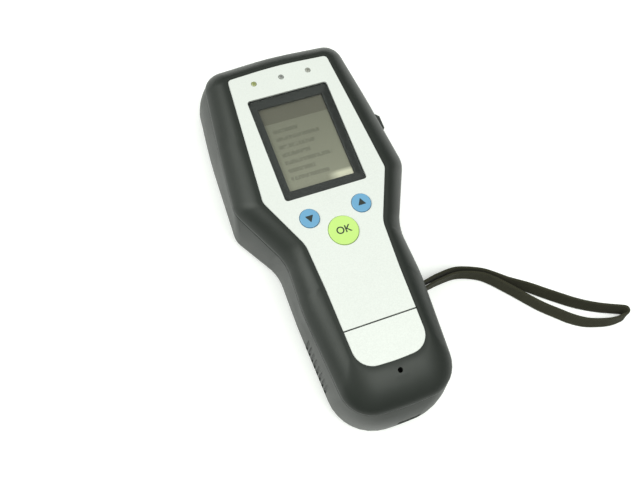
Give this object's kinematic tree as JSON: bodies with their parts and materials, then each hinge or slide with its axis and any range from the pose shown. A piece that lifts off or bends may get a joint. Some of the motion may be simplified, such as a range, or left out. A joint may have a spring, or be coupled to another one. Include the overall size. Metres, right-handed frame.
{
  "type": "handheld breath tester",
  "caption": "Hand-held breath-alcohol tester with a flared head, display, round keys, status lights, rear mouthpiece channel, sliding battery door and wrist strap.",
  "frame": {"origin": "on the flat of the back, below the middle of the body's length and width", "axes": "+Z out of the front plate, +Y towards the head, +X to the right seen from the front"},
  "size_m": [0.1693, 0.1805, 0.0383],
  "materials": {
    "shell": "soft-touch dark grey plastic",
    "gasket": "matt black rubber",
    "plate": "fine-grained silver-white lacquer",
    "tail_plate": "silver-white lacquer",
    "window": "clear scratch-resistant window",
    "mask": "black print",
    "screen": "unlit liquid-crystal display",
    "light_green": "translucent yellow-green",
    "light_clear": "translucent grey",
    "arrow_key": "satin light blue",
    "ok_key": "satin yellow-green",
    "silicone": "silicone rubber",
    "board": "green circuit board",
    "lamp": "lamp",
    "steel": "plain steel",
    "black_plastic": "black plastic",
    "sensor_can": "light grey plastic",
    "pump_metal": "zinc-plated",
    "port_plastic": "grey plastic",
    "hose": "silicone hose",
    "cell_jacket": "plain cell jacket",
    "dark_screw": "black screw",
    "catch": "dark plastic",
    "webbing": "woven strap"
  },
  "bodies": {
    "housing": {"front_shell": "shell", "rear_shell": "shell", "shell_gasket": "gasket", "front_panel": "plate", "tail_panel": "tail_plate", "display_window": "window", "display_mask": "mask", "lcd_module": "screen", "light_pipe_left": "light_green", "light_pipe_middle": "light_clear", "light_pipe_right": "light_clear", "key_dome_down": "silicone", "key_dome_up": "silicone", "key_dome_ok": "silicone", "main_board": "board", "status_lamps": "lamp", "board_screws": "steel", "sounder": "black_plastic", "data_socket": "black_plastic", "sensor_module": "sensor_can", "sampling_pump": "pump_metal", "breath_port": "port_plastic", "breath_tube": "hose", "sample_tube": "hose", "pressure_sensor": "black_plastic", "battery_tray": "black_plastic", "battery_cells": "cell_jacket", "battery_springs": "steel", "battery_contacts": "steel", "case_screws": "dark_screw", "catch_spring": "steel", "strap_pin": "steel", "wrist_strap": "webbing"},
    "key_down": {"key_down": "arrow_key"},
    "key_up": {"key_up": "arrow_key"},
    "key_ok": {"key_ok": "ok_key"},
    "mouthpiece_catch": {"mouthpiece_catch": "catch"},
    "battery_door": {"battery_door": "shell"}
  },
  "joints": [
    {"name": "key_down_press", "type": "slide", "parent": "housing", "child": "key_down", "axis": [0, 0, -1], "range_m": [0, 0.0008], "stiffness_N_per_m": 1500, "deforming": ["key_dome_down"]},
    {"name": "key_up_press", "type": "slide", "parent": "housing", "child": "key_up", "axis": [0, 0, -1], "range_m": [0, 0.0008], "stiffness_N_per_m": 1500, "deforming": ["key_dome_up"]},
    {"name": "key_ok_press", "type": "slide", "parent": "housing", "child": "key_ok", "axis": [0, 0, -1], "range_m": [0, 0.0008], "stiffness_N_per_m": 1500, "deforming": ["key_dome_ok"]},
    {"name": "catch_press", "type": "slide", "parent": "housing", "child": "mouthpiece_catch", "axis": [-1, 0, 0], "range_m": [0, 0.002], "stiffness_N_per_m": 900, "deforming": ["catch_spring"]},
    {"name": "door_slide", "type": "slide", "parent": "housing", "child": "battery_door", "axis": [0, -1, 0], "range_m": [0, 0.08]}
  ]
}
